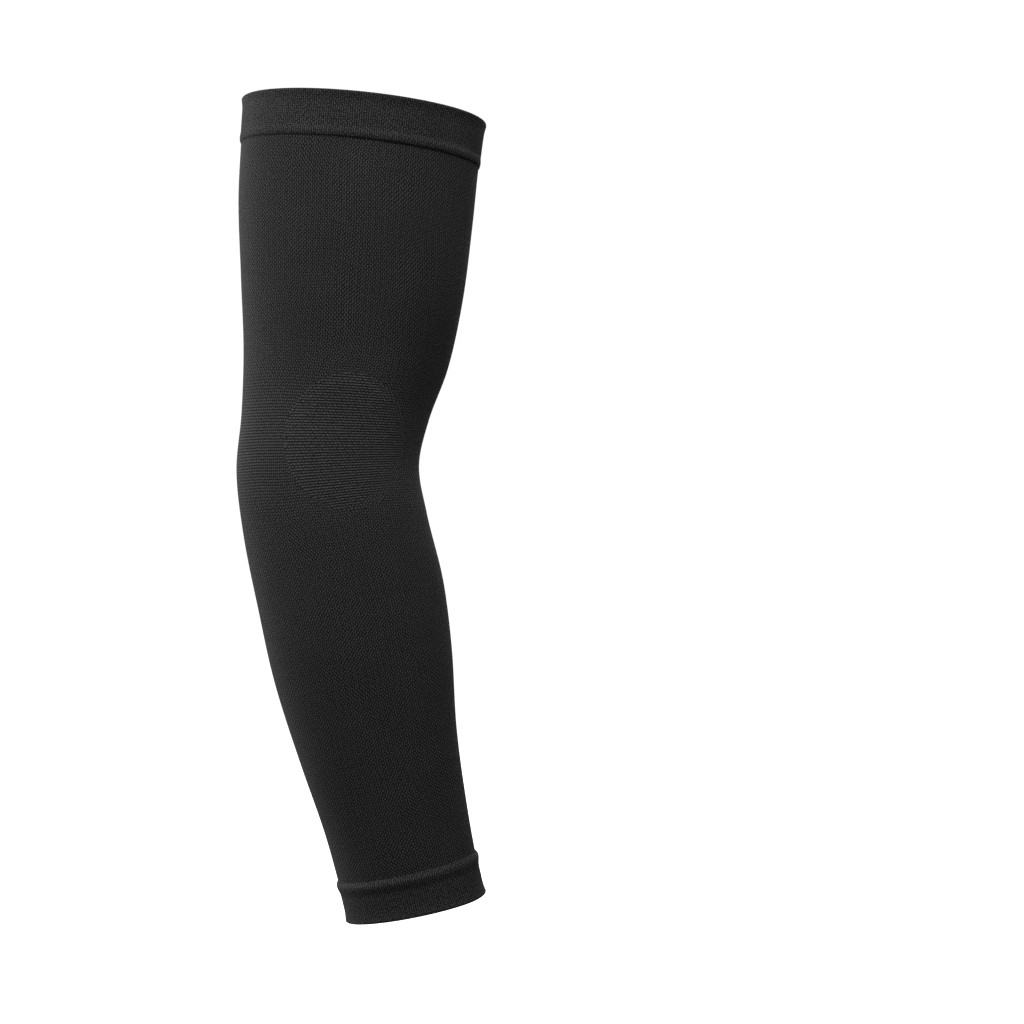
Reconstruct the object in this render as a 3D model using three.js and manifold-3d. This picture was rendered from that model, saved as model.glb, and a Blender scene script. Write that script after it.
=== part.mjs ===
// Arm compression sleeve: one knitted tube shaped to a slightly bent arm, a turned double band
// at each end, and an oval rib-knit panel let into the tube at the elbow.
// Units are millimetres. +Z points up the arm, +X towards the inside of the elbow's bend, and the
// oval panel faces -Y. The origin is the middle of the upper opening, where the arm goes in.

import * as THREE from "three";
import { mergeVertices } from "three/addons/utils/BufferGeometryUtils.js";
import Module from "manifold-3d";

// Driving dimensions
const KNIT_WALL = 1.5; // the tube's single knit
const SEAM_GAP = 0.3; // clearance between neighbouring pieces
const UPPER_BAND_LENGTH = 20;
const WRIST_BAND_LENGTH = 19;
const BAND_RISE = 0.7; // how far a band's face stands proud of the tube
const BEAD_RISE = 1.2; // how far the rolled edge of a band stands proud of the tube
const BEAD_LENGTH = 4.5; // of the rolled edge, along the arm
const BEAD_LAP = 2.2; // how far the rolled edge reaches over the end of the tube
const PANEL_HALF_WIDTH = 26.5; // of the oval, seen square on
const PANEL_HALF_HEIGHT = 29.8;
const PANEL_TURN = -73; // degrees round the arm from +X to the oval's middle
const PANEL_DOWN = 149.5; // depth of the oval's middle below the origin
const PANEL_RISE = 0.5; // how far the panel's thicker knit stands proud of the tube

// Colour and roughness of each knit
const BODY_KNIT = { color: 0x272728, roughness: 0.9 };
const BAND_KNIT = { color: 0x292929, roughness: 0.92 };
const PANEL_KNIT = { color: 0x2b2b2c, roughness: 0.88 };

// Fineness of the faceted surfaces
const FACETS_AROUND = 48;
const TUBE_STEP = 10; // between the tube's rings
const FOLD_STEPS = 4; // facets of the fold at a rim
const BEAD_STEPS = 6; // facets of a rolled edge
const OVAL_STEPS = 32; // facets in half of the oval's edge

// One row for each cross-section of the tube's outside, from the upper rim to the wrist rim.
// down       depth of the section's middle below the origin
// across     offset of the section's middle in +X
// lean       degrees by which the +X side of the section hangs lower than the other
// halfWidth  half size across the bend of the elbow
// halfDepth  half size from front to back
// taper      share by which the section narrows towards the point of the elbow
const SECTIONS = [
  { at: "upper rim", down: 0, across: 0, lean: 5.6, halfWidth: 54.2, halfDepth: 49, taper: 0 },
  { at: "band edge", down: 21, across: -2.1, lean: 5.6, halfWidth: 53.5, halfDepth: 48.5, taper: 0 },
  { at: "biceps", down: 45, across: -3.9, lean: 5.6, halfWidth: 52.8, halfDepth: 48, taper: 0 },
  { at: "lower biceps", down: 80, across: -5.6, lean: 5.5, halfWidth: 50, halfDepth: 46, taper: 0.02 },
  { at: "above elbow", down: 112, across: -8.4, lean: 4.4, halfWidth: 46, halfDepth: 42.5, taper: 0.05 },
  { at: "crease top", down: 138, across: -13.3, lean: 1.9, halfWidth: 42, halfDepth: 39.5, taper: 0.08 },
  { at: "elbow", down: 160, across: -16.5, lean: -1.5, halfWidth: 41, halfDepth: 38.5, taper: 0.09 },
  { at: "below elbow", down: 184, across: -13.4, lean: -5.2, halfWidth: 41.5, halfDepth: 39, taper: 0.07 },
  { at: "forearm bulk", down: 218, across: -6, lean: -9.3, halfWidth: 42, halfDepth: 39.5, taper: 0.03 },
  { at: "mid forearm", down: 248, across: -0.7, lean: -10.8, halfWidth: 40.6, halfDepth: 37.5, taper: 0.01 },
  { at: "lower forearm", down: 285, across: 6.2, lean: -11.3, halfWidth: 36, halfDepth: 33, taper: 0 },
  { at: "above wrist", down: 318, across: 14.1, lean: -11.3, halfWidth: 32.6, halfDepth: 29.5, taper: 0 },
  { at: "wrist band edge", down: 339, across: 18.9, lean: -12, halfWidth: 31.5, halfDepth: 28.2, taper: 0 },
  { at: "wrist rim", down: 358, across: 23.3, lean: -12, halfWidth: 31.2, halfDepth: 27.8, taper: 0 },
];
const SHAPED = ["across", "lean", "halfWidth", "halfDepth", "taper"];

const wasm = await Module();
wasm.setup();

const sectionCurve = new THREE.CubicInterpolant(
  SECTIONS.map((row) => row.down),
  SECTIONS.flatMap((row) => SHAPED.map((column) => row[column])),
  SHAPED.length,
);

// The shape of the cross-section at a depth, blended smoothly between the rows of the table.
function sectionAt(down) {
  const values = sectionCurve.evaluate(down);
  return Object.fromEntries(SHAPED.map((column, i) => [column, values[i]]));
}

// A point of the sleeve, given its depth along the arm, its turn round it from +X in radians, and its
// offset out of the tube's outside.
function sleevePoint(down, turn, offset) {
  const { across, lean, halfWidth, halfDepth, taper } = sectionAt(down);
  const slope = THREE.MathUtils.degToRad(lean);
  const outward = (halfWidth + offset) * Math.cos(turn);
  const depth = (halfDepth + offset) * Math.sin(turn) * (1 + taper * Math.cos(turn));
  return [across + outward * Math.cos(slope), depth, -down - outward * Math.sin(slope)];
}

// Sweeps a closed outline of { down, offset } points once round the arm. The outline runs down the
// outside first and comes back up the inside.
function sweepRoundArm(outline) {
  const positions = [];
  const triangles = [];
  const index = (row, facet) => (row % outline.length) * FACETS_AROUND + (facet % FACETS_AROUND);
  outline.forEach(({ down, offset }, row) => {
    for (let facet = 0; facet < FACETS_AROUND; facet++) {
      positions.push(...sleevePoint(down, (2 * Math.PI * facet) / FACETS_AROUND, offset));
      const [a, b] = [index(row, facet), index(row, facet + 1)];
      const [c, d] = [index(row + 1, facet), index(row + 1, facet + 1)];
      triangles.push(a, c, b, b, c, d);
    }
  });
  return new THREE.BufferGeometry()
    .setAttribute("position", new THREE.Float32BufferAttribute(positions, 3))
    .setIndex(triangles);
}

// Depths from one end to the other in equal steps of about the tube's ring spacing.
function evenDepths(from, to) {
  const steps = Math.ceil((to - from) / TUBE_STEP);
  return Array.from({ length: steps + 1 }, (_, i) => from + ((to - from) * i) / steps);
}

// The outline of a plain wall between two depths and two offsets.
function wallOutline(from, to, outside, inside) {
  const depths = evenDepths(from, to);
  return [
    ...depths.map((down) => ({ down, offset: outside })),
    ...depths.toReversed().map((down) => ({ down, offset: inside })),
  ];
}

// The outline of a turned band, measured from its rim: the round fold, the face, the rolled edge that
// laps over the tube's end, the seat for that end, and the inside. It is then laid out along the arm
// from its rim, downwards with direction 1 or upwards with direction -1.
function bandOutline(rim, length, direction) {
  const foldRadius = (BAND_RISE + KNIT_WALL) / 2;
  const foldMiddle = BAND_RISE - foldRadius;
  const outline = [];
  for (let i = 0; i <= FOLD_STEPS; i++) {
    const angle = Math.PI * (1 - i / FOLD_STEPS);
    outline.push({
      along: foldRadius * (1 - Math.sin(angle)),
      offset: foldMiddle + foldRadius * Math.cos(angle),
    });
  }
  for (let i = 0; i <= BEAD_STEPS; i++) {
    const angle = (Math.PI * i) / BEAD_STEPS;
    const foot = angle < Math.PI / 2 ? BAND_RISE : SEAM_GAP;
    outline.push({
      along: length - (BEAD_LENGTH * (1 + Math.cos(angle))) / 2,
      offset: THREE.MathUtils.lerp(foot, BEAD_RISE, Math.sin(angle)),
    });
  }
  outline.push({ along: length - BEAD_LAP, offset: SEAM_GAP });
  outline.push({ along: length - BEAD_LAP, offset: -KNIT_WALL });
  const laid = outline.map(({ along, offset }) => ({ down: rim + direction * along, offset }));
  return direction > 0 ? laid : laid.toReversed();
}

// A bar of oval section from the arm's middle out through the panel's place, grown by a margin all round.
function ovalBar(margin) {
  const oval = new THREE.Shape();
  oval.absellipse(0, 0, PANEL_HALF_WIDTH + margin, PANEL_HALF_HEIGHT + margin, 0, 2 * Math.PI);
  const { across, halfWidth } = sectionAt(PANEL_DOWN);
  const drawn = { depth: 2 * halfWidth, bevelEnabled: false, curveSegments: OVAL_STEPS };
  return new THREE.ExtrudeGeometry(oval, drawn)
    .rotateX(Math.PI / 2)
    .rotateZ(THREE.MathUtils.degToRad(90 + PANEL_TURN))
    .translate(across, 0, -PANEL_DOWN);
}

// The solid of a closed surface, its shared corners merged.
function solidOf(geometry) {
  const bare = new THREE.BufferGeometry().setAttribute("position", geometry.getAttribute("position"));
  const merged = mergeVertices(bare.setIndex(geometry.index));
  return new wasm.Manifold(
    new wasm.Mesh({
      numProp: 3,
      vertProperties: merged.getAttribute("position").array,
      triVerts: Uint32Array.from(merged.index.array),
    }),
  );
}

// The surface of a cut solid.
function geometryOf(solid) {
  const { vertProperties, triVerts } = solid.getMesh();
  return new THREE.BufferGeometry()
    .setAttribute("position", new THREE.BufferAttribute(vertProperties, 3))
    .setIndex(new THREE.BufferAttribute(triVerts, 1));
}

// A named piece in one of the knits.
function knitPiece(name, geometry, knit) {
  geometry.computeVertexNormals();
  const piece = new THREE.Mesh(geometry, new THREE.MeshStandardMaterial({ ...knit, metalness: 0 }));
  piece.name = name;
  return piece;
}

const wristRim = SECTIONS.at(-1).down;
const tubeTop = UPPER_BAND_LENGTH - BEAD_LAP + SEAM_GAP;
const tubeBottom = wristRim - WRIST_BAND_LENGTH + BEAD_LAP - SEAM_GAP;
const panelTop = PANEL_DOWN - PANEL_HALF_HEIGHT - TUBE_STEP;
const panelBottom = PANEL_DOWN + PANEL_HALF_HEIGHT + TUBE_STEP;

const tube = solidOf(sweepRoundArm(wallOutline(tubeTop, tubeBottom, 0, -KNIT_WALL)));
const panelWall = solidOf(sweepRoundArm(wallOutline(panelTop, panelBottom, PANEL_RISE, -KNIT_WALL)));
const panelWindow = solidOf(ovalBar(SEAM_GAP / 2));
const panelEdge = solidOf(ovalBar(-SEAM_GAP / 2));

const sleeve = new THREE.Group();
sleeve.name = "arm_compression_sleeve";
sleeve.add(
  knitPiece("upper_band", sweepRoundArm(bandOutline(0, UPPER_BAND_LENGTH, 1)), BAND_KNIT),
  knitPiece("sleeve_tube", geometryOf(tube.subtract(panelWindow)), BODY_KNIT),
  knitPiece("elbow_panel", geometryOf(panelWall.intersect(panelEdge)), PANEL_KNIT),
  knitPiece("wrist_band", sweepRoundArm(bandOutline(wristRim, WRIST_BAND_LENGTH, -1)), BAND_KNIT),
);

export default sleeve;
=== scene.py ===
"""Arm compression sleeve: knit tube, turned bands and elbow panel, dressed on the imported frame."""

import logging
from bisect import bisect_right
from collections.abc import Callable, Iterable
from dataclasses import dataclass, field
from enum import Enum
from math import atan2, ceil, cos, hypot, inf, pi, radians, sin, sqrt

import bmesh
import bpy
from bmesh.types import BMesh, BMFace, BMVert
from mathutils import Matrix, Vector


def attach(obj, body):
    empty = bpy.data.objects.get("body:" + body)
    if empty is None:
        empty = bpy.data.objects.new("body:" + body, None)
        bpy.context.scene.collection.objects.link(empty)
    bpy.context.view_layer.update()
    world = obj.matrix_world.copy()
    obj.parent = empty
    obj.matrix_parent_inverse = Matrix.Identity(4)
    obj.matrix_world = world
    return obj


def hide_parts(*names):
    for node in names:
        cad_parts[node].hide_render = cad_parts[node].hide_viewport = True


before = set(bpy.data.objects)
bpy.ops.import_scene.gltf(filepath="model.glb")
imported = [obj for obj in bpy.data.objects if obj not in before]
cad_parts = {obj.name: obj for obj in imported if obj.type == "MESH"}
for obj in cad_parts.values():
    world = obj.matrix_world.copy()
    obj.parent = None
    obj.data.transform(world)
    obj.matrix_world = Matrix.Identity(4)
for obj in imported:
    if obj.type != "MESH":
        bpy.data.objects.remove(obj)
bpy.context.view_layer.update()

LOG = logging.getLogger("arm_sleeve")

MM = 0.001
FULL_TURN = 2.0 * pi
SEAM_TURN = pi / 2  # where each rolled-up sheet closes, at the back of the arm
FRONT_TURN = SEAM_TURN + pi
MERGE_DISTANCE = 1e-6
HALVINGS = 18  # steps that find where a grid edge crosses the oval

KNIT_MAP = "Knit"  # stitches counted across and along the cloth
BAKE_MAP = "OFBake"  # one flat place for every face
BAKE_EDGE = 0.004  # left free round the bake map
BAKE_STRIPS = 8  # strips below a sheet's outside: five for its inside, one for cut edges, two free
BAND_STRIPS = 4  # strips of a band, one for each quarter turn
PAINTED_HIGHLIGHT = "Pulled"  # painted highlight along the lit side of an edge, from 0 to 1
MERGED = "Merged"  # how far the rows have turned into loops, from 0 to 1

Colour = tuple[float, float, float, float]
Ends = tuple[float, float, float, float]
Socket = bpy.types.NodeSocket


def grey(level: float, blue: float = 1.0) -> Colour:
    """Gives a grey, with its blue part scaled."""
    return (level, level, level * blue, 1.0)


def swell(share: float) -> float:
    """Rises smoothly from 0 to 1 as a share goes from 0 to 1."""
    share = min(max(share, 0.0), 1.0)
    return share * share * (3 - 2 * share)


def add_object(name: str, data: bpy.types.ID) -> bpy.types.Object:
    """Puts a new object into the scene.

    Args:
        name: The object's name.
        data: Its mesh, lamp or camera.

    Returns:
        The object, at the origin.
    """
    item = bpy.data.objects.new(name, data)
    bpy.context.scene.collection.objects.link(item)
    return item


def add_mesh(name: str, bm: BMesh) -> bpy.types.Object:
    """Puts a finished mesh into the scene.

    Args:
        name: The name of its object.
        bm: The mesh, which is freed.

    Returns:
        The object, at the origin.
    """
    mesh = bpy.data.meshes.new(name)
    bm.to_mesh(mesh)
    bm.free()
    return add_object(name, mesh)


@dataclass(frozen=True)
class Section:
    """One cross-section of the tube's outside, in millimetres and degrees.

    Attributes:
        down: Depth of the section's middle below the origin.
        across: Offset of the section's middle in +X.
        lean: How far the +X side hangs lower than the other, in degrees.
        half_width: Half size across the bend of the elbow.
        half_depth: Half size from front to back.
        taper: Share by which the section narrows towards the point of the elbow.
    """

    down: float
    across: float
    lean: float
    half_width: float
    half_depth: float
    taper: float


ARM_SECTIONS = (
    Section(0, 0, 5.6, 54.2, 49, 0),
    Section(21, -2.1, 5.6, 53.5, 48.5, 0),
    Section(45, -3.9, 5.6, 52.8, 48, 0),
    Section(80, -5.6, 5.5, 50, 46, 0.02),
    Section(112, -8.4, 4.4, 46, 42.5, 0.05),
    Section(138, -13.3, 1.9, 42, 39.5, 0.08),
    Section(160, -16.5, -1.5, 41, 38.5, 0.09),
    Section(184, -13.4, -5.2, 41.5, 39, 0.07),
    Section(218, -6, -9.3, 42, 39.5, 0.03),
    Section(248, -0.7, -10.8, 40.6, 37.5, 0.01),
    Section(285, 6.2, -11.3, 36, 33, 0),
    Section(318, 14.1, -11.3, 32.6, 29.5, 0),
    Section(339, 18.9, -12, 31.5, 28.2, 0),
    Section(358, 23.3, -12, 31.2, 27.8, 0),
)


@dataclass
class ArmForm:
    """The bent arm that gives the cloth its shape, blended between cross-sections.

    Attributes:
        sections: The cross-sections, from the top down.
        depths: Their depths.
        rows: Their other sizes.
        slopes: How fast those change with the depth.
    """

    sections: tuple[Section, ...] = ARM_SECTIONS
    depths: list[float] = field(init=False)
    rows: list[tuple[float, ...]] = field(init=False)
    slopes: list[tuple[float, ...]] = field(init=False)

    def __post_init__(self) -> None:
        """Works out how fast each column changes at each section."""
        self.depths = [s.down for s in self.sections]
        self.rows = [(s.across, s.lean, s.half_width, s.half_depth, s.taper) for s in self.sections]
        chords = []
        pairs = zip(self.rows, self.rows[1:], self.depths, self.depths[1:])
        for upper, lower, top, bottom in pairs:
            chords.append(tuple((b - a) / (bottom - top) for a, b in zip(upper, lower)))
        between = [tuple((a + b) / 2 for a, b in zip(p, q)) for p, q in zip(chords, chords[1:])]
        self.slopes = [chords[0], *between, chords[-1]]

    def blend(self, down: float) -> list[float]:
        """Blends the columns of the table at a depth.

        Args:
            down: Depth below the origin, in millimetres.

        Returns:
            across, lean, half width, half depth and taper there.
        """
        i = min(max(bisect_right(self.depths, down) - 1, 0), len(self.depths) - 2)
        step = self.depths[i + 1] - self.depths[i]
        t = (down - self.depths[i]) / step
        start = (1 + 2 * t) * (1 - t) ** 2
        leave = t * (1 - t) ** 2 * step
        end = t * t * (3 - 2 * t)
        arrive = t * t * (t - 1) * step
        columns = zip(self.rows[i], self.slopes[i], self.rows[i + 1], self.slopes[i + 1])
        return [start * a + leave * ma + end * b + arrive * mb for a, ma, b, mb in columns]

    def radius(self, down: float) -> float:
        """Gives the mean radius of the arm at a depth, in millimetres."""
        return sum(self.blend(down)[2:4]) / 2

    def point(self, down: float, turn: float, offset: float) -> Vector:
        """Places one point of the cloth.

        Args:
            down: Depth along the arm, in millimetres.
            turn: Turn round the arm from +X, in radians.
            offset: Distance out of the tube's outside, in millimetres.

        Returns:
            The point, in metres.
        """
        across, lean, half_width, half_depth, taper = self.blend(down)
        slope = radians(lean)
        outward = (half_width + offset) * cos(turn)
        depth = (half_depth + offset) * sin(turn) * (1 + taper * cos(turn))
        place = (across + outward * cos(slope), depth, -down - outward * sin(slope))
        return Vector(place) * MM


class Side(Enum):
    """Which side of the oval's edge a sheet keeps."""

    INSIDE = -1
    OUTSIDE = 1


@dataclass(frozen=True)
class Gauge:
    """The spacing of a piece's stitches, in millimetres.

    Attributes:
        wale: Width of a column at the arm's front and back.
        course: Height of a row.
        top: Depth of the first row.
        spread: Share by which the columns thin out at the arm's sides.
    """

    wale: float = 0.96
    course: float = 1.2
    top: float = 18.1
    spread: float = 0.4

    def count(self, flat: Vector, radius: float) -> tuple[float, float]:
        """Counts stitches to a flat spot.

        Args:
            flat: Turn round the arm and depth along it.
            radius: Radius of the arm there.

        Returns:
            Wales from the arm's front and courses from the tube's top.
        """
        turn = flat.x - FRONT_TURN
        thinned = self.spread * (2 * turn - sin(2 * turn)) / 4
        return (turn - thinned) * radius / self.wale, (flat.y - self.top) / self.course


@dataclass(frozen=True)
class ElbowOval:
    """The oval in which the elbow panel meets the tube, in millimetres and degrees.

    Attributes:
        half_width: Half size round the arm.
        half_height: Half size along it.
        turn: Where its middle lies round the arm, from +X.
        down: Depth of its middle.
    """

    half_width: float = 26.5
    half_height: float = 29.8
    turn: float = -73.0
    down: float = 149.5

    def place(self, form: ArmForm, flat: Vector) -> Vector:
        """Finds a spot of the cloth in the oval's own frame.

        Args:
            form: The arm under the cloth.
            flat: Turn round the arm and depth along it.

        Returns:
            Its distance aside, up and out from the oval's middle.
        """
        turn = radians(self.turn)
        middle = Vector((form.blend(self.down)[0], 0, -self.down))
        spot = form.point(flat.y, flat.x, 0.0) / MM - middle
        aside = spot.y * cos(turn) - spot.x * sin(turn)
        return Vector((aside, spot.z, spot.x * cos(turn) + spot.y * sin(turn)))

    def reach(self, form: ArmForm, flat: Vector, margin: float) -> float:
        """Tells where a spot of the cloth lies against the oval.

        Args:
            form: The arm under the cloth.
            flat: Turn round the arm and depth along it.
            margin: By how much the oval is grown all round.

        Returns:
            0 at the oval's middle, 1 on its edge, and more outside it.
        """
        spot = self.place(form, flat)
        if spot.z < 0:
            return inf
        return hypot(spot.x / (self.half_width + margin), spot.y / (self.half_height + margin))


@dataclass
class FlatSheet:
    """A sheet of knit laid flat, with X as the turn in radians and Y as the depth in millimetres.

    Attributes:
        start: Lowest turn and depth.
        end: Highest turn and depth.
        columns: Grid cells across.
        rows: Grid cells along.
        bm: The sheet's mesh.
    """

    start: tuple[float, float]
    end: tuple[float, float]
    columns: int
    rows: int
    bm: BMesh = field(init=False)

    def __post_init__(self) -> None:
        """Makes the grid with its layers and moves it to its place in the flat plane."""
        self.bm = bmesh.new()
        values, maps = self.bm.verts.layers.float, self.bm.loops.layers.uv
        self.turn, self.down = values.new("turn"), values.new("down")
        # One layer carries the painted highlight along lit edges, the other how far the rows turn
        # into loops.
        self.painted_highlight, self.merged = values.new(PAINTED_HIGHLIGHT), values.new(MERGED)
        self.knit, self.bake = maps.new(KNIT_MAP), maps.new(BAKE_MAP)
        bmesh.ops.create_grid(self.bm, x_segments=self.columns, y_segments=self.rows, size=1.0)
        for vert in self.bm.verts:
            vert.co.x = self.start[0] + (self.end[0] - self.start[0]) * (vert.co.x + 1) / 2
            vert.co.y = self.start[1] + (self.end[1] - self.start[1]) * (vert.co.y + 1) / 2
        bmesh.ops.reverse_faces(self.bm, faces=self.bm.faces[:])

    def share(self, spot: Vector) -> Vector:
        """Gives a flat spot's place in the sheet, from 0 to 1 each way."""
        places = zip(spot.xy, self.start, self.end)
        return Vector([(at - low) / (high - low) for at, low, high in places])

    def trim(self, reach: Callable[[Vector], float], keep: Side) -> None:
        """Pulls the nearest corners onto an edge and deletes what lies past it.

        Args:
            reach: Gives 1 on the edge, less inside it and more outside.
            keep: The side that stays.
        """
        level = {vert: reach(vert.co) - 1.0 for vert in self.bm.verts}
        moves: dict[BMVert, tuple[float, Vector]] = {}
        for edge in self.bm.edges:
            a, b = edge.verts
            if not (level[a] < 0) ^ (level[b] < 0):
                continue
            inner, outer = (a, b) if level[a] < 0 else (b, a)
            near, far = 0.0, 1.0
            for _ in range(HALVINGS):
                middle = (near + far) / 2
                if reach(inner.co.lerp(outer.co, middle)) < 1:
                    near = middle
                else:
                    far = middle
            spot = inner.co.lerp(outer.co, near)
            vert, gap = (inner, near) if near < 0.5 else (outer, 1 - near)
            if vert not in moves or gap < moves[vert][0]:
                moves[vert] = (gap, spot)
        for vert, (_, spot) in moves.items():
            vert.co = spot
            level[vert] = 0.0
        for face in self.bm.faces[:]:
            levels = [level[vert] for vert in face.verts]
            ends = [vert for vert in face.verts if level[vert] == 0.0]
            if min(levels) < 0 < max(levels) and len(ends) == 2:
                bmesh.utils.face_split(face, ends[0], ends[1])
        past = []
        for face in self.bm.faces:
            side = sum(max(min(level[vert], 1.0), -1.0) for vert in face.verts)
            if side == 0:
                side = reach(face.calc_center_median()) - 1
            if side * keep.value < 0:
                past.append(face)
        bmesh.ops.delete(self.bm, geom=past, context="FACES")

    def chart(self, stitch: Callable[[Vector], tuple[float, float]], bake_low: float) -> None:
        """Lays the stitch map and the bake map while the sheet is flat.

        Args:
            stitch: Counts the stitches across and along to a flat spot.
            bake_low: Where the outside starts in the bake map, with the inside below it.
        """
        for vert in self.bm.verts:
            vert[self.turn] = vert.co.x
            vert[self.down] = vert.co.y
            counts = stitch(vert.co)
            share = self.share(vert.co)
            across = BAKE_EDGE + (1 - 2 * BAKE_EDGE) * share.x
            along = bake_low + (1 - BAKE_EDGE - bake_low) * share.y
            for loop in vert.link_loops:
                loop[self.knit].uv = counts
                loop[self.bake].uv = (across, along)

    def bend(self, place: Callable[[float, float], Vector]) -> None:
        """Rolls the flat sheet round the arm and closes its seam.

        Args:
            place: Gives the point for a turn and a depth.
        """
        for vert in self.bm.verts:
            vert.co = place(vert[self.turn], vert[self.down])
        bmesh.ops.remove_doubles(self.bm, verts=self.bm.verts[:], dist=MERGE_DISTANCE)
        self.bm.normal_update()

    def thicken(self, wall: float, bake_low: float) -> list[BMVert]:
        """Gives the sheet its wall, inwards, and moves the new faces apart in the bake map.

        Args:
            wall: Thickness, in metres.
            bake_low: Where the outside starts in the bake map.

        Returns:
            The corners of the outside.
        """
        outside = list(self.bm.faces)
        made = bmesh.ops.solidify(self.bm, geom=outside, thickness=wall)["geom"]
        inside = {item for item in made if isinstance(item, BMFace)}
        known = inside | set(outside)
        walls = [face for face in self.bm.faces if face in known]
        rims = [face for face in self.bm.faces if face not in known]
        rims.sort(key=lambda face: face.calc_center_median()[:])
        strip = (bake_low - BAKE_EDGE) / BAKE_STRIPS
        squeeze = (bake_low - 3 * strip - BAKE_EDGE) / (1 - BAKE_EDGE - bake_low)
        for face in inside:
            for loop in face.loops:
                uv = loop[self.bake].uv
                uv.y = BAKE_EDGE + (uv.y - bake_low) * squeeze
        self.chart_rims(rims, bake_low - 2 * strip, bake_low - strip)
        for face in rims:
            for edge in face.edges:
                edge.smooth = all(other in rims for other in edge.link_faces)
        corners = list({vert for face in outside for vert in face.verts})
        places = {face: place for place, face in enumerate(walls + rims)}
        self.bm.faces.sort(key=places.get)  # solidify makes the rims in another order each run
        return corners

    def chart_rims(self, rims: list[BMFace], low: float, high: float) -> None:
        """Gives each face of the cut edges its own place in a strip of the bake map.

        Args:
            rims: The faces of the cut edges.
            low: The strip's lower edge.
            high: The strip's upper edge.
        """
        width = (1 - 2 * BAKE_EDGE) / len(rims)
        for place, face in enumerate(rims):
            left = BAKE_EDGE + place * width
            corners = ((left, low), (left + width, low), (left + width, high), (left, high))
            for loop, corner in zip(face.loops, corners):
                loop[self.bake].uv = corner

    def finish(self, name: str) -> bpy.types.Object:
        """Turns the sheet into a smooth shaded object.

        Args:
            name: The new object's name.

        Returns:
            The object, linked to the scene.
        """
        for face in self.bm.faces:
            face.smooth = True
        return add_mesh(name, self.bm)


class ShaderBench:
    """A shader tree, with short ways to place its nodes and join them."""

    def __init__(self, tree: bpy.types.NodeTree) -> None:
        """Takes over a tree and empties it."""
        self.tree = tree
        tree.nodes.clear()

    def place(
        self, kind: str, feeds: dict[str, object] | None = None, **settings: object
    ) -> bpy.types.Node:
        """Places a node.

        Args:
            kind: The node's type.
            feeds: What goes into its inputs, by name.
            **settings: Properties of the node.

        Returns:
            The node.
        """
        node = self.tree.nodes.new(kind)
        for name, value in settings.items():
            setattr(node, name, value)
        for name, source in (feeds or {}).items():
            self.feed(node.inputs[name], source)
        return node

    def feed(self, socket: Socket, source: object) -> None:
        """Links a socket to another one, or sets it to a plain value.

        Args:
            socket: The input.
            source: A socket or a value.
        """
        if isinstance(source, Socket):
            self.tree.links.new(source, socket)
        else:
            socket.default_value = source

    def sum(self, operation: str, *terms: object) -> Socket:
        """Does one step of arithmetic.

        Args:
            operation: The Math node's operation.
            *terms: Sockets or numbers.

        Returns:
            The result.
        """
        node = self.place("ShaderNodeMath", operation=operation)
        for socket, term in zip(node.inputs, terms):
            self.feed(socket, term)
        return node.outputs[0]

    def wave(self, count: object) -> Socket:
        """Gives a soft wave from 0 to 1, highest at each whole count."""
        swing = self.sum("COSINE", self.sum("MULTIPLY", count, FULL_TURN))
        return self.sum("MULTIPLY_ADD", swing, 0.5, 0.5)

    def blend(self, share: object, first: object, second: object) -> Socket:
        """Blends two values, with share giving how much of the second goes in."""
        return self.sum("MULTIPLY_ADD", self.sum("SUBTRACT", second, first), share, first)

    def span(self, value: object, ends: Ends) -> Socket:
        """Carries a value smoothly from one range to another.

        Args:
            value: What is carried over.
            ends: Start and end of its range, then what each of them becomes.

        Returns:
            The new value.
        """
        feeds = dict(zip(("From Min", "From Max", "To Min", "To Max", "Value"), (*ends, value)))
        node = self.place("ShaderNodeMapRange", feeds, interpolation_type="SMOOTHSTEP")
        return node.outputs["Result"]

    def hump(self, value: object, middle: float, reach: float) -> Socket:
        """Gives 1 where a value is at the middle, falling to 0 at its reach on both sides."""
        rising = self.span(value, (middle - reach, middle, 0.0, 1.0))
        return self.sum("MULTIPLY", rising, self.span(value, (middle, middle + reach, 1.0, 0.0)))

    def mix(self, share: object, first: object, second: object) -> Socket:
        """Mixes two colours.

        Args:
            share: How much of the second goes in.
            first: A colour.
            second: Another colour.

        Returns:
            The mixed colour.
        """
        node = self.place("ShaderNodeMix", {"Factor": share}, data_type="RGBA")
        colours = [s for s in node.inputs if s.type == "RGBA"]
        self.feed(colours[0], first)
        self.feed(colours[1], second)
        return next(s for s in node.outputs if s.type == "RGBA")


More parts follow.
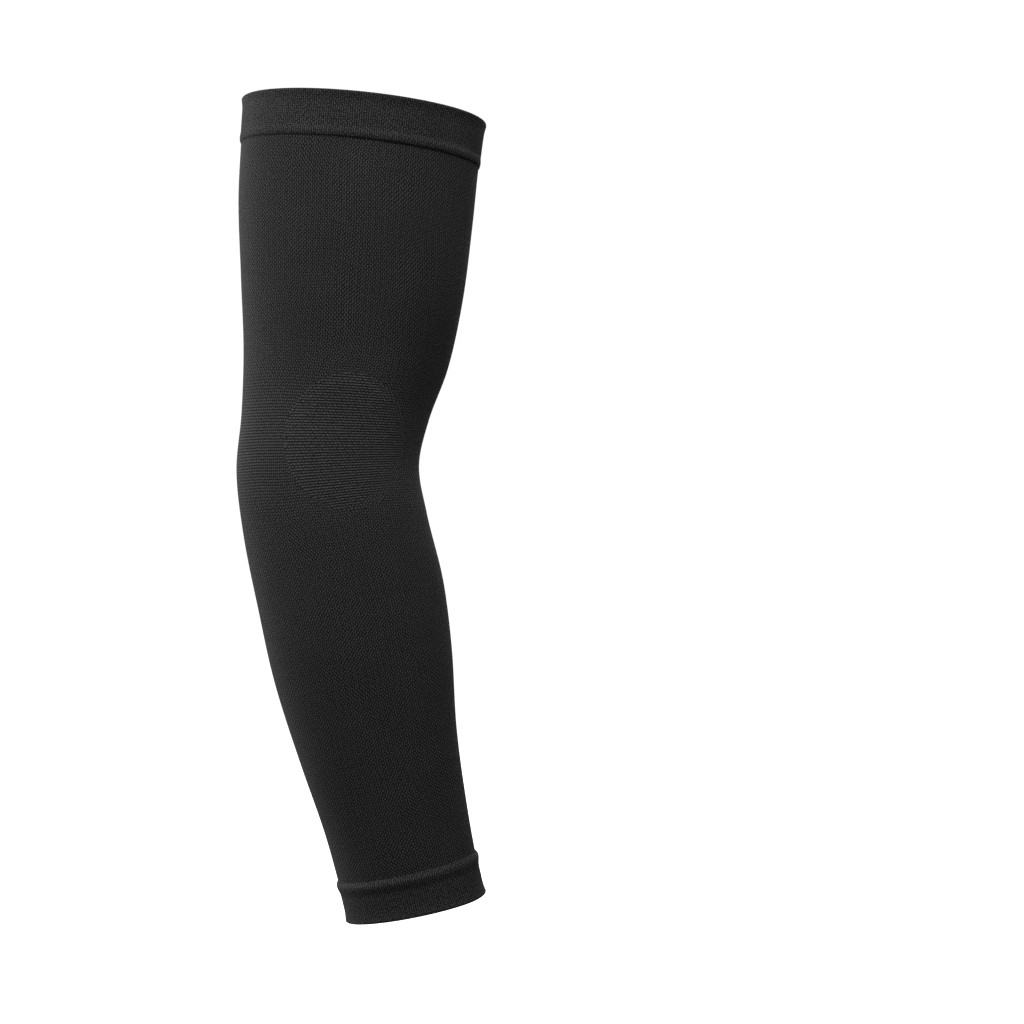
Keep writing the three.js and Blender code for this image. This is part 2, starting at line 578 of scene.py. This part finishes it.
class KnitRelief:
    """The shared node group that turns stitch counts into slanted loops, rows and columns."""

    NAME = "knit relief"
    INPUTS = ("Twill", "Wander", "Loops", "Rows", "Columns", "Lean")
    WANDER_SCALE = 0.05  # swirls for each stitch
    YARN_SCALE = 1.5  # flecks for each stitch

    @classmethod
    def group(cls) -> bpy.types.NodeTree:
        """Builds the group once and gives it back each time.

        Returns:
            The group, with Height and Yarn from 0 to 1.
        """
        if cls.NAME in bpy.data.node_groups:
            return bpy.data.node_groups[cls.NAME]
        tree = bpy.data.node_groups.new(cls.NAME, "ShaderNodeTree")
        tree.interface.new_socket("Stitch", in_out="INPUT", socket_type="NodeSocketVector")
        for name in cls.INPUTS:
            tree.interface.new_socket(name, in_out="INPUT", socket_type="NodeSocketFloat")
        for name in ("Height", "Yarn"):
            tree.interface.new_socket(name, in_out="OUTPUT", socket_type="NodeSocketFloat")
        bench = ShaderBench(tree)
        given = bench.place("NodeGroupInput").outputs
        wale, course = cls.strayed(bench, given["Stitch"], given["Wander"])
        across = bench.sum("MULTIPLY", wale, given["Twill"])
        along = bench.sum("MULTIPLY", course, given["Twill"])
        falling = bench.wave(bench.sum("SUBTRACT", across, along))
        rising = bench.wave(bench.sum("ADD", across, along))
        height = bench.sum("MULTIPLY", bench.blend(given["Lean"], falling, rising), given["Loops"])
        height = bench.sum("MULTIPLY_ADD", bench.wave(course), given["Rows"], height)
        height = bench.sum("MULTIPLY_ADD", bench.wave(wale), given["Columns"], height)
        spread = {"Vector": given["Stitch"], "Scale": cls.YARN_SCALE}
        yarn = bench.place("ShaderNodeTexNoise", spread, noise_dimensions="2D")
        bench.place("NodeGroupOutput", {"Height": height, "Yarn": yarn.outputs[0]})
        return tree

    @classmethod
    def strayed(cls, bench: ShaderBench, stitch: Socket, wander: Socket) -> list[Socket]:
        """Lets the stitches stray a little from their places.

        Args:
            bench: The group's tree.
            stitch: Place on the cloth, in stitches.
            wander: How far they stray.

        Returns:
            The wale and the course that reach this place.
        """
        spread = {"Vector": stitch, "Scale": cls.WANDER_SCALE, "Detail": 0.0}
        noise = bench.place("ShaderNodeTexNoise", spread, noise_dimensions="2D")
        shifts = bench.place("ShaderNodeSeparateColor", {"Color": noise.outputs["Color"]})
        places = bench.place("ShaderNodeSeparateXYZ", {"Vector": stitch})
        counts = []
        for place, shift in zip(places.outputs[:2], shifts.outputs[:2]):
            centred = bench.sum("SUBTRACT", shift, 0.5)
            counts.append(bench.sum("MULTIPLY_ADD", centred, wander, place))
        return counts


@dataclass(frozen=True)
class KnitFinish:
    """How one knit looks.

    Attributes:
        name: The material's name.
        gap: Colour between the loops, nearly black: painted shade that stands for the shadow in the
            gaps.
        loop: Colour of the loops' heads.
        twill: Slanted lines of loops for each stitch.
        wander: How far the loops stray from their places, in stitches.
        loops: How much the loops stand apart.
        rows: How much they run together along the rows.
        columns: How much they run together along the columns.
        relief: Height of the loops, in metres.
        fleck: Share of the pattern that comes from light and dark flecks in the yarn.
        stretch: How much lighter the knit is where the elbow stretches it.
        stretch_rows: How much more its rows show there, on the outside of the bend.
        painted_highlight: Painted highlight: how much lighter the yarn is painted along the lit
            flank of a rolled edge and along the welt.
        fade: Share of its rows that turns into loops where it merges into another knit.
        crease_darkening: Painted shade: how much darker the knit is painted above the inside of the
            bend, where the elbow's crease falls in shade.
    """

    ELBOW = (-0.15, 0.062)  # height of the stretched knit and its reach up and down, in metres
    CREASE_SHADE = (-0.113, 0.042)  # height and reach of the painted shade above the inside of the bend, in metres
    INNER = (0.008, 0.03, 0.0, 1.0)  # from X, in metres, to the inside of the bend
    DRIFT_SCALE = 38.0  # slow changes over the cloth, for each metre
    DRIFT_DETAIL = 3.0
    LEAN = (0.38, 0.62, 0.42, 0.62)  # from the drift to the share of loops that rise
    SHADE = (0.3, 0.7, 0.92, 1.08)  # from the drift to the tone
    FLECKS = (0.3, 0.7, 0.0, 1.0)  # from the yarn's noise to its flecks
    HEADS = (0.3, 0.85, 0.0, 1.0)  # from the height to the light heads of the loops, with painted shade in the gaps below them
    ROUGHNESS = (0.0, 1.0, 0.95, 0.8)  # from the gaps to the heads
    CALMING = 0.8  # share of the wander that is gone where the elbow stretches the knit
    BUMP_STRENGTH = 0.8
    SPECULAR = 0.12
    SHEEN = 0.08  # how much the loose fibres light up at a flat angle
    SHEEN_ROUGHNESS = 0.4
    SHEEN_TINT = grey(0.8, 1.03)

    name: str
    gap: Colour
    loop: Colour
    twill: float
    wander: float
    loops: float
    rows: float
    columns: float
    relief: float
    fleck: float
    stretch: float = 0.3
    stretch_rows: float = 0.0
    painted_highlight: float = 0.5
    fade: float = 0.0
    crease_darkening: float = 0.0

    def material(self) -> bpy.types.Material:
        """Builds the finish as a material.

        Returns:
            The material.
        """
        material = bpy.data.materials.new(self.name)
        material.use_nodes = True
        bench = ShaderBench(material.node_tree)
        stitch = bench.place("ShaderNodeUVMap", uv_map=KNIT_MAP)
        place = bench.place("ShaderNodeTexCoord").outputs["Object"]
        spread = {"Vector": place, "Scale": self.DRIFT_SCALE, "Detail": self.DRIFT_DETAIL}
        drift = bench.place("ShaderNodeTexNoise", spread).outputs[0]
        spot = bench.place("ShaderNodeSeparateXYZ", {"Vector": place})
        stretched = bench.hump(spot.outputs["Z"], *self.ELBOW)
        inner = bench.span(spot.outputs["X"], self.INNER)
        # Painted shade above the inside of the bend, where the elbow's crease lies in shade.
        crease_shade = bench.hump(spot.outputs["Z"], *self.CREASE_SHADE)
        crease_shade = bench.sum("MULTIPLY", crease_shade, bench.sum("MULTIPLY", inner, -self.crease_darkening))
        outer = bench.sum("SUBTRACT", 1.0, inner)
        taut = bench.sum("MULTIPLY", bench.sum("POWER", stretched, 2.0), outer)
        merged = bench.place("ShaderNodeAttribute", attribute_name=MERGED)
        faded = bench.sum("MULTIPLY", merged.outputs["Fac"], -self.fade * self.rows)
        change = bench.sum("MULTIPLY_ADD", taut, self.stretch_rows, faded)
        calmed = -self.CALMING * self.wander
        pattern = {
            "Stitch": stitch.outputs[0],
            "Twill": self.twill,
            "Wander": bench.sum("MULTIPLY_ADD", stretched, calmed, self.wander),
            "Loops": bench.sum("SUBTRACT", self.loops, change),
            "Rows": bench.sum("ADD", self.rows, change),
            "Columns": self.columns,
            "Lean": bench.span(drift, self.LEAN),
        }
        knit = bench.place("ShaderNodeGroup", pattern, node_tree=KnitRelief.group())
        flecks = bench.span(knit.outputs["Yarn"], self.FLECKS)
        heads = bench.span(bench.blend(self.fleck, knit.outputs["Height"], flecks), self.HEADS)
        # The tone takes a painted highlight along lit edges and painted shade in the elbow's crease,
        # beside the lighter stretched knit.
        edge = bench.place("ShaderNodeAttribute", attribute_name=PAINTED_HIGHLIGHT)
        lift = bench.sum("MULTIPLY_ADD", stretched, self.stretch, bench.sum("ADD", crease_shade, 1.0))
        lift = bench.sum("MULTIPLY_ADD", edge.outputs["Fac"], self.painted_highlight, lift)
        tone = bench.sum("MULTIPLY", bench.span(drift, self.SHADE), lift)
        # Painted shade: the low gaps between the loops are painted nearly black and the raised heads
        # lighter.
        colour = bench.mix(heads, self.gap, self.loop)
        tinted = bench.place("ShaderNodeHueSaturation", {"Color": colour, "Value": tone})
        relief = {"Height": heads, "Distance": self.relief, "Strength": self.BUMP_STRENGTH}
        looks = {
            "Base Color": tinted.outputs[0],
            "Roughness": bench.span(heads, self.ROUGHNESS),
            "Specular IOR Level": self.SPECULAR,
            "Sheen Weight": self.SHEEN,
            "Sheen Roughness": self.SHEEN_ROUGHNESS,
            "Sheen Tint": self.SHEEN_TINT,
            "Normal": bench.place("ShaderNodeBump", relief).outputs[0],
        }
        cloth = bench.place("ShaderNodeBsdfPrincipled", looks)
        bench.place("ShaderNodeOutputMaterial", {"Surface": cloth.outputs[0]})
        return material


# The near-black gap colours below are painted shade between the loops.
BODY_KNIT = KnitFinish(
    "body knit",
    gap=grey(0.0045, 1.05),
    loop=grey(0.049, 1.04),
    twill=0.67,
    wander=2.4,
    loops=0.56,
    rows=0.1,
    columns=0.3,
    relief=0.25 * MM,
    fleck=0.16,
    stretch=0.37,
    stretch_rows=0.34,
    # Painted shade above the inside of the bend.
    crease_darkening=0.35,
)
BAND_KNIT = KnitFinish(
    "band knit",
    gap=grey(0.004, 1.05),
    loop=grey(0.051, 1.04),
    twill=0.5,
    wander=1.2,
    loops=0.25,
    rows=0.22,
    columns=0.52,
    relief=0.2 * MM,
    fleck=0.36,
)
RIB_KNIT = KnitFinish(
    "rib knit",
    gap=grey(0.005, 1.05),
    loop=grey(0.0532, 1.04),
    twill=0.5,
    wander=0.2,
    loops=0.36,
    rows=0.64,
    columns=0.0,
    relief=0.15 * MM,
    fleck=0.34,
    # Weaker painted highlight along the panel's welt.
    painted_highlight=0.35,
    fade=0.75,
    # Painted shade above the inside of the bend, on the panel too.
    crease_darkening=0.35,
)


@dataclass
class SleevePiece:
    """One piece of the sleeve.

    Attributes:
        name: The piece's name.
        node: The CAD node that it stands for.
        slot: The record's material slot; not used.
        finish: Its knit.
    """

    name: str
    node: str
    slot: str
    finish: KnitFinish

    def build(self, form: ArmForm) -> bpy.types.Object:
        """Models the piece on the arm's form and gives its object."""
        raise NotImplementedError

    def dress(self, piece: bpy.types.Object) -> None:
        """Gives the piece its knit and ties it to the frame.

        Args:
            piece: The piece's object.
        """
        piece.data.materials.append(self.finish.material())
        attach(piece, "root")
        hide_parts(self.node)


@dataclass
class KnitTube(SleevePiece):
    """The tube from band to band, with the oval window at the elbow; sizes in millimetres.

    Attributes:
        top: Depth of its upper edge.
        bottom: Depth of its lower edge.
        wall: Thickness.
        gauge: Its stitches.
        columns: Grid cells round it.
        rows: Grid cells along it.
        oval: The window.
        window_margin: How much larger the window is all round.
        bake_low: Where its outside starts in the bake map.
    """

    top: float = 18.1
    bottom: float = 340.9
    wall: float = 1.5
    gauge: Gauge = Gauge()
    columns: int = 176
    rows: int = 216
    oval: ElbowOval = ElbowOval()
    window_margin: float = 0.1
    bake_low: float = 0.12

    def build(self, form: ArmForm) -> bpy.types.Object:
        """Models the tube.

        Args:
            form: The arm under the cloth.

        Returns:
            The tube's object.
        """
        start = (SEAM_TURN, self.top)
        end = (SEAM_TURN + FULL_TURN, self.bottom)
        sheet = FlatSheet(start, end, self.columns, self.rows)
        sheet.trim(lambda flat: self.oval.reach(form, flat, self.window_margin), Side.OUTSIDE)
        sheet.chart(lambda flat: self.gauge.count(flat, form.radius(flat.y)), self.bake_low)
        sheet.bend(lambda turn, down: form.point(down, turn, 0.0))
        sheet.thicken(self.wall * MM, self.bake_low)
        return sheet.finish(self.name)


@dataclass
class RibPanel(SleevePiece):
    """The oval panel of horizontal ribs at the elbow; sizes in millimetres.

    Attributes:
        wall: Thickness.
        rise: How far its middle stands proud of the tube.
        gauge: Its stitches, with a rib in each course.
        rib_height: Height of the ribs.
        rib_tilt: How much the lowest ribs tilt.
        rib_dashes: Share of their height that comes in dashes.
        round_edge: How far in from the edge the panel reaches its height.
        merge_way: Way across and up in which it merges into the tube.
        merge_width: How far in from the edge its ribs fade there.
        welt_height: Height of the welt along the other side's edge.
        welt_dashes: Counts of dashes round the oval, which together break up the welt.
        welt_width: Width of the welt.
        edge_margin: How much larger than the oval the panel is all round.
        half_sweep: Half of the grid's turn round the arm, in radians.
        grid_margin: How far the grid reaches past the oval, up and down.
        columns: Grid cells across.
        cells_a_rib: Grid cells in the height of a rib.
        oval: The panel's edge.
        bake_low: Where its outside starts in the bake map.
    """

    wall: float = 1.5
    rise: float = 0.25
    gauge: Gauge = Gauge(wale=0.8, course=1.17, spread=0.0)
    rib_height: float = 0.2
    rib_tilt: float = 0.07
    rib_dashes: float = 0.1
    round_edge: float = 5.0
    merge_way: tuple[float, float] = (0.95, -0.3)
    merge_width: float = 9.0
    welt_height: float = 0.5
    welt_dashes: tuple[int, int] = (31, 47)
    welt_width: float = 1.1
    edge_margin: float = 0.02
    half_sweep: float = radians(48)
    grid_margin: float = 3.0
    columns: int = 220
    cells_a_rib: int = 5
    oval: ElbowOval = ElbowOval()
    bake_low: float = 0.2

    def build(self, form: ArmForm) -> bpy.types.Object:
        """Models the panel with its ribs.

        Args:
            form: The arm under the cloth.

        Returns:
            The panel's object.
        """
        ribs = 2 * ceil((self.oval.half_height + self.grid_margin) / self.gauge.course)
        half_length = ribs * self.gauge.course / 2
        middle = radians(self.oval.turn) + FULL_TURN
        start = (middle - self.half_sweep, self.oval.down - half_length)
        end = (middle + self.half_sweep, self.oval.down + half_length)
        sheet = FlatSheet(start, end, self.columns, ribs * self.cells_a_rib)
        sheet.trim(lambda flat: self.oval.reach(form, flat, self.edge_margin), Side.INSIDE)
        sheet.chart(lambda flat: self.count(form, flat), self.bake_low)
        sheet.bend(lambda turn, down: form.point(down, turn, 0.0))
        for vert in sheet.thicken(self.wall * MM, self.bake_low):
            flat = Vector((vert[sheet.turn], vert[sheet.down], 0))
            spot = self.oval.place(form, flat)
            side = self.side(spot)
            inset = (1 - self.oval.reach(form, flat, self.edge_margin)) * self.oval.half_width
            edge = self.merge_width * max(0.0, side)
            merged = swell(1 - inset / edge) if edge > 0 else 0.0
            stand = swell(inset / (self.round_edge + edge / 2))
            ridge = self.rib_height * (1 - merged) * (self.ridge(*self.count(form, flat)) - 0.5)
            bump = sin(pi * min(max(inset / self.welt_width, 0.0), 1.0))
            welt = bump * max(0.0, -side) * self.dash(spot)
            offset = stand * (self.rise + ridge) + self.welt_height * welt
            vert.co = form.point(flat.y, flat.x, offset)
            # Painted highlight: the welt, on the side that faces the light from the left, is painted
            # lighter.
            vert[sheet.painted_highlight] = welt
            vert[sheet.merged] = merged
        return sheet.finish(self.name)

    def count(self, form: ArmForm, flat: Vector) -> tuple[float, float]:
        """Counts stitches to a flat spot, in rows that tilt below the panel's middle.

        Args:
            form: The arm under the cloth.
            flat: Turn round the arm and depth along it.

        Returns:
            Wales and courses.
        """
        wale, course = self.gauge.count(flat, form.radius(self.oval.down))
        low = max(0.0, (flat.y - self.oval.down) / self.oval.half_height)
        rise = self.rib_tilt * low * self.oval.place(form, flat).x
        return wale, course + rise / self.gauge.course

    def side(self, spot: Vector) -> float:
        """Gives -1 on the welt's side of the oval, rising to 1 where it merges into the tube."""
        across, up = spot.x / self.oval.half_width, spot.y / self.oval.half_height
        return self.merge_way[0] * across + self.merge_way[1] * up

    def dash(self, spot: Vector) -> float:
        """Gives the welt's height at a spot from 0 to 1, in uneven dashes round the oval."""
        swings = [cos(count * atan2(spot.y, spot.x)) for count in self.welt_dashes]
        return 0.5 + 0.5 * sum(swings) / len(swings)

    def ridge(self, stitch: float, rib: float) -> float:
        """Gives the ribs' height from 0 to 1, each one a row of dashes set against the next."""
        dash = cos(pi * stitch) * cos(pi * rib)
        return (0.5 + 0.5 * cos(FULL_TURN * rib)) * (1 - self.rib_dashes + self.rib_dashes * dash)


class RimEnd(Enum):
    """Which end of the sleeve a band turns in; the value is its way from the rim along the arm."""

    UPPER = 1
    WRIST = -1


class EdgeRoll(Enum):
    """How a band's rolled edge comes down on the tube."""

    ROUND = "round"
    SOFT = "soft"

    def height(self, share: float) -> float:
        """Gives the roll's height, from 1 at its crest to 0 at its foot."""
        return sqrt(1 - share * share) if self is EdgeRoll.ROUND else cos(pi / 2 * share)


@dataclass(frozen=True)
class BandPoint:
    """One point of a band's outline, in millimetres.

    Attributes:
        along: Its distance from the rim.
        offset: Its distance out of the tube's outside, at the sides of the arm.
        front: How much further out it lies at the front and back.
        relief: Its share of the knit's relief.
        painted_highlight: How much of the painted highlight it gets, where the rolled edge catches
            the light.
    """

    along: float
    offset: float
    front: float = 0.0
    relief: float = 0.0
    painted_highlight: float = 0.0


@dataclass
class TurnedBand(SleevePiece):
    """A double band turned in at a rim, with a rolled edge over the tube's end; in millimetres.

    Attributes:
        end: The end of the sleeve that it turns in.
        roll: How its rolled edge meets the tube.
        length: From its rim to the foot of the rolled edge.
        wall: Thickness under the tube's outside.
        rise: How far its face stands proud of the tube.
        flare: How much further its rim stands out.
        flare_front: How much more of that it does at the front and back.
        flare_length: How far the flare reaches from the rim.
        bead_rise: How far the rolled edge stands proud of the tube.
        bead_front: How much more of that it does at the front and back.
        bead_face: Length of the rolled edge on the face's side of its crest.
        bead_edge: Its length on the tube's side.
        bead_lap: How far it reaches over the tube's end.
        bead_highlight: Painted highlight on the rolled edge, where it catches the light, from 0 to
            1.
        seam_gap: Clearance over the tube's end.
        neck: How far the face sinks in beside the rolled edge, at the front and back.
        neck_length: How far that reaches.
        bias: Share by which the front's shapes are larger on the inner side and smaller outside.
        lift: How far the rim bows towards the elbow in front.
        lift_turn: Where it bows the most, in radians.
        wales: Columns of stitches round the band, if all were as wide as in front.
        spread: Share by which they thin out at the arm's sides.
        cells_a_wale: Grid cells in each of them.
        wale_height: How far they stand out.
        course: Height of a row of stitches.
        fold_steps: Grid cells round the fold.
        face_steps: Grid cells along the face.
        bead_steps: Grid cells on each side of the rolled edge's crest.
        inner_steps: Grid cells along the inside.
    """

    HIGHLIGHT_POWER = 4  # how late the painted highlight falls off towards the tube

    end: RimEnd = RimEnd.UPPER
    roll: EdgeRoll = EdgeRoll.ROUND
    length: float = 20.0
    wall: float = 1.5
    rise: float = 0.4
    flare: float = 0.7
    flare_front: float = 1.1
    flare_length: float = 6.2
    bead_rise: float = 0.6
    bead_front: float = 0.85
    bead_face: float = 2.7
    bead_edge: float = 2.3
    bead_lap: float = 2.2
    bead_highlight: float = 0.1
    seam_gap: float = 0.12
    neck: float = 0.1
    neck_length: float = 5.0
    bias: float = 0.35
    lift: float = 0.3
    lift_turn: float = radians(232)
    wales: int = 355
    spread: float = 0.4
    cells_a_wale: int = 4
    wale_height: float = 0.05
    course: float = 0.98
    fold_steps: int = 8
    face_steps: int = 18
    bead_steps: int = 8
    inner_steps: int = 6

    def outline(self) -> list[BandPoint]:
        """Draws the closed outline of the band's wall, from the inside of its fold.

        Returns:
            The outline's points.
        """
        fold = (self.rise + self.wall) / 2
        foot = self.length - self.bead_edge - self.bead_face
        points = []
        for i in range(self.fold_steps + 1):
            share = i / self.fold_steps
            inward = fold * (1 + cos(pi * share))
            points.append(self.face_point(fold * (1 - sin(pi * share)), inward, share))
        for i in range(1, self.face_steps):
            points.append(self.face_point(fold + (foot - fold) * i / self.face_steps))
        for i in range(self.bead_steps):
            points.append(self.face_point(foot + self.bead_face * i / self.bead_steps))
        for i in range(self.bead_steps + 1):
            share = sin(pi / 2 * i / self.bead_steps)
            height = self.roll.height(share)
            offset = self.seam_gap + (self.bead_rise - self.seam_gap) * height
            along = self.length - self.bead_edge * (1 - share)
            # Painted highlight on the roll's flank, fading towards its foot.
            painted_highlight = self.bead_highlight * (1 - share**self.HIGHLIGHT_POWER)
            points.append(BandPoint(along, offset, self.bead_front * height, height, painted_highlight))
        seat = self.length - self.bead_lap
        points.append(BandPoint(seat, self.seam_gap))
        for i in range(self.inner_steps + 1):
            points.append(BandPoint(seat + (fold - seat) * i / self.inner_steps, -self.wall))
        return points

    def face_point(self, along: float, inward: float = 0.0, relief: float = 1.0) -> BandPoint:
        """Gives a point of the band's face.

        Args:
            along: Its distance from the rim.
            inward: How far the fold carries it in from the face.
            relief: Its share of the knit's relief and of the flare.

        Returns:
            The point.
        """
        flare = relief * max(0.0, 1 - along / self.flare_length) ** 2
        foot = self.length - self.bead_edge - self.bead_face
        bead = swell((along - foot) / self.bead_face)
        neck = swell(1 + (along - foot) / self.neck_length) * (1 - bead)
        offset = self.rise - inward + self.flare * flare + (self.bead_rise - self.rise) * bead
        front = self.flare_front * flare + self.bead_front * bead - self.neck * neck
        # Painted highlight rising towards the rolled edge's crest.
        return BandPoint(along, offset, front, relief, self.bead_highlight * bead * bead)

    def build(self, form: ArmForm) -> bpy.types.Object:
        """Models the band.

        Args:
            form: The arm under the cloth.

        Returns:
            The band's object.
        """
        outline = self.outline()
        rim = 0.0 if self.end is RimEnd.UPPER else form.depths[-1]
        steps = len(outline) - 1
        sheet = FlatSheet(
            (SEAM_TURN, 0.0), (SEAM_TURN + FULL_TURN, steps), self.wales * self.cells_a_wale, steps
        )
        self.chart(sheet, outline)

        def place(turn: float, step: float) -> Vector:
            """Puts a corner of the outline in its place.

            Args:
                turn: Its turn round the arm, in radians.
                step: Its number along the outline.

            Returns:
                The point, in metres.
            """
            at = outline[round(step)]
            wave = 0.5 * cos(FULL_TURN * self.wale(turn))
            front = abs(sin(turn)) * (1 + self.bias * cos(turn))
            offset = at.offset + at.front * front + self.wale_height * at.relief * wave
            near = max(0.0, 1 - at.along / self.length)
            lift = self.lift * near * max(0.0, cos(turn - self.lift_turn))
            return form.point(rim + self.end.value * (at.along + lift), turn, offset)

        sheet.bend(place)
        if self.end is RimEnd.WRIST:
            bmesh.ops.reverse_faces(sheet.bm, faces=sheet.bm.faces[:])
        return sheet.finish(self.name)

    def wale(self, turn: float) -> float:
        """Counts the columns of stitches from the arm's front to a turn round it."""
        gauge = Gauge(wale=1.0, spread=self.spread)
        return gauge.count(Vector((turn, 0)), self.wales / FULL_TURN)[0]

    def chart(self, sheet: FlatSheet, outline: list[BandPoint]) -> None:
        """Lays the stitch map, and the bake map in four strips, one for each quarter turn.

        Args:
            sheet: The band's flat grid.
            outline: The points of its wall.
        """
        lengths = [0.0]
        for a, b in zip(outline, outline[1:]):
            lengths.append(lengths[-1] + hypot(b.along - a.along, b.offset - a.offset))
        for vert in sheet.bm.verts:
            vert[sheet.turn] = vert.co.x
            vert[sheet.down] = vert.co.y
            # Carries each outline point's painted highlight.
            vert[sheet.painted_highlight] = outline[round(vert.co.y)].painted_highlight
        for face in sheet.bm.faces:
            quarter = int(sheet.share(face.calc_center_median()).x * BAND_STRIPS)
            for loop in face.loops:
                spot = loop.vert.co
                across = sheet.share(spot).x
                along = lengths[round(spot.y)]
                loop[sheet.knit].uv = (self.wale(spot.x), along / self.course)
                left = BAKE_EDGE + (1 - 2 * BAKE_EDGE) * (across * BAND_STRIPS - quarter)
                low = BAKE_EDGE + (1 / BAND_STRIPS - 2 * BAKE_EDGE) * along / lengths[-1]
                loop[sheet.bake].uv = (left, quarter / BAND_STRIPS + low)


@dataclass(frozen=True)
class SoftBox:
    """A square soft lamp turned to the elbow, in degrees, metres and watts.

    Attributes:
        name: The lamp's name.
        bearing: Its way round from the camera, towards the picture's left.
        height: Its angle above the elbow.
        distance: How far it stands from the elbow.
        size: Length of its side.
        power: Its light.
    """

    name: str
    bearing: float
    height: float
    distance: float
    size: float
    power: float

    def set_up(self, target: Vector) -> None:
        """Hangs the lamp in the studio.

        Args:
            target: The point that it is turned to.
        """
        bearing, height = radians(self.bearing), radians(self.height)
        level = cos(height)
        way = Vector((-sin(bearing) * level, -cos(bearing) * level, sin(height)))
        lamp = bpy.data.lights.new(self.name, "AREA")
        lamp.shape = "SQUARE"
        lamp.size = self.size
        lamp.energy = self.power
        holder = add_object(self.name, lamp)
        holder.location = target + way * self.distance
        holder.rotation_euler = (-way).to_track_quat("-Z", "Y").to_euler()


@dataclass
class Studio:
    """The white studio round the sleeve, in metres.

    Attributes:
        floor_height: Height of the floor.
        floor_size: Its side.
        floor_tone: Its paint, from black at 0 to white at 1.
        floor_roughness: How matt it is.
        surround: Light from all round.
        backdrop: The white that the camera sees.
        target: The point that the lamps are turned to.
        camera_place: Where the camera stands.
        clip_end: How far it sees.
        frame_width: What it sees across at the arm's middle.
        sensor: Width of its sensor, in millimetres.
        lamps: The soft lamps.
    """

    floor_height: float = -0.46
    floor_size: float = 12.0
    floor_tone: float = 0.8
    floor_roughness: float = 0.9
    surround: float = 0.1
    backdrop: float = 1.05
    target: tuple[float, float, float] = (-0.005, 0.0, -0.17)
    camera_place: tuple[float, float, float] = (0.0663, -0.95, -0.18)
    clip_end: float = 50.0
    frame_width: float = 0.4608
    sensor: float = 36.0
    lamps: tuple[SoftBox, ...] = (
        SoftBox("near key", 10, 40, 0.8, 0.5, 5.7),
        SoftBox("right key", -45, 40, 1.3, 0.9, 5.6),
        SoftBox("left side", 90, 10, 1.3, 0.9, 7.4),
        SoftBox("left rim", 122, 12, 1.3, 0.9, 10.3),
        SoftBox("back", 180, 25, 1.4, 1.2, 9.0),
    )

    def set_up(self) -> None:
        """Lays the floor, lights the studio and puts the camera where the picture was taken."""
        self.lay_floor()
        self.light_surround()
        for lamp in self.lamps:
            lamp.set_up(Vector(self.target))
        self.place_camera()
        bpy.context.scene.view_settings.view_transform = "Standard"

    def lay_floor(self) -> None:
        """Lays a plain white floor that throws no light back at the cloth."""
        bm = bmesh.new()
        bmesh.ops.create_grid(bm, x_segments=1, y_segments=1, size=self.floor_size / 2)
        bmesh.ops.translate(bm, verts=bm.verts[:], vec=(0, 0, self.floor_height))
        floor = add_mesh("studio_floor", bm)
        material = bpy.data.materials.new("studio white")
        material.use_nodes = True
        bench = ShaderBench(material.node_tree)
        looks = {
            "Base Color": grey(self.floor_tone),
            "Roughness": self.floor_roughness,
            "Emission Color": grey(1.0),
            "Emission Strength": self.backdrop,
        }
        paint = bench.place("ShaderNodeBsdfPrincipled", looks)
        bench.place("ShaderNodeOutputMaterial", {"Surface": paint.outputs[0]})
        floor.data.materials.append(material)
        floor.visible_diffuse = False
        floor.visible_glossy = False
        floor.visible_shadow = False

    def light_surround(self) -> None:
        """Makes the surround white to the camera and softer as a light."""
        world = bpy.data.worlds.new("studio_surround")
        world.use_nodes = True
        bench = ShaderBench(world.node_tree)
        seen = bench.place("ShaderNodeLightPath").outputs["Is Camera Ray"]
        strength = bench.blend(seen, self.surround, self.backdrop)
        glow = bench.place("ShaderNodeBackground", {"Color": grey(1.0), "Strength": strength})
        bench.place("ShaderNodeOutputWorld", {"Surface": glow.outputs[0]})
        bpy.context.scene.world = world

    def place_camera(self) -> None:
        """Puts the camera level with the elbow, in front of the sleeve."""
        data = bpy.data.cameras.new("camera")
        data.sensor_width = self.sensor
        data.lens = self.sensor * -self.camera_place[1] / self.frame_width
        data.clip_end = self.clip_end
        camera = add_object("camera", data)
        camera.location = self.camera_place
        camera.rotation_euler = (pi / 2, 0, 0)
        bpy.context.scene.camera = camera


def sleeve_pieces() -> Iterable[SleevePiece]:
    """Lists the sleeve's pieces, the tube first."""
    yield KnitTube("knit_tube", "sleeve_tube", "knit_body", BODY_KNIT)
    yield RibPanel("rib_panel", "elbow_panel", "knit_panel", RIB_KNIT)
    yield TurnedBand("turned_upper_band", "upper_band", "knit_band", BAND_KNIT)
    yield TurnedBand(
        "turned_wrist_band",
        "wrist_band",
        "knit_band",
        BAND_KNIT,
        end=RimEnd.WRIST,
        roll=EdgeRoll.SOFT,
        length=19.2,
        bead_rise=1.1,
        bead_front=0.7,
        bead_face=4.6,
        bead_edge=2.4,
        # Strong painted highlight on the wrist's rolled edge.
        bead_highlight=0.75,
        neck=0.05,
        neck_length=7.0,
        lift=0.8,
        wales=210,
    )


def main() -> None:
    logging.basicConfig(level=logging.INFO, format="%(name)s: %(message)s")
    form = ArmForm()
    for part in sleeve_pieces():
        piece = part.build(form)
        part.dress(piece)
        LOG.info("%s: %d faces in %s", piece.name, len(piece.data.polygons), part.finish.name)
    Studio().set_up()


if __name__ == "__main__":
    main()
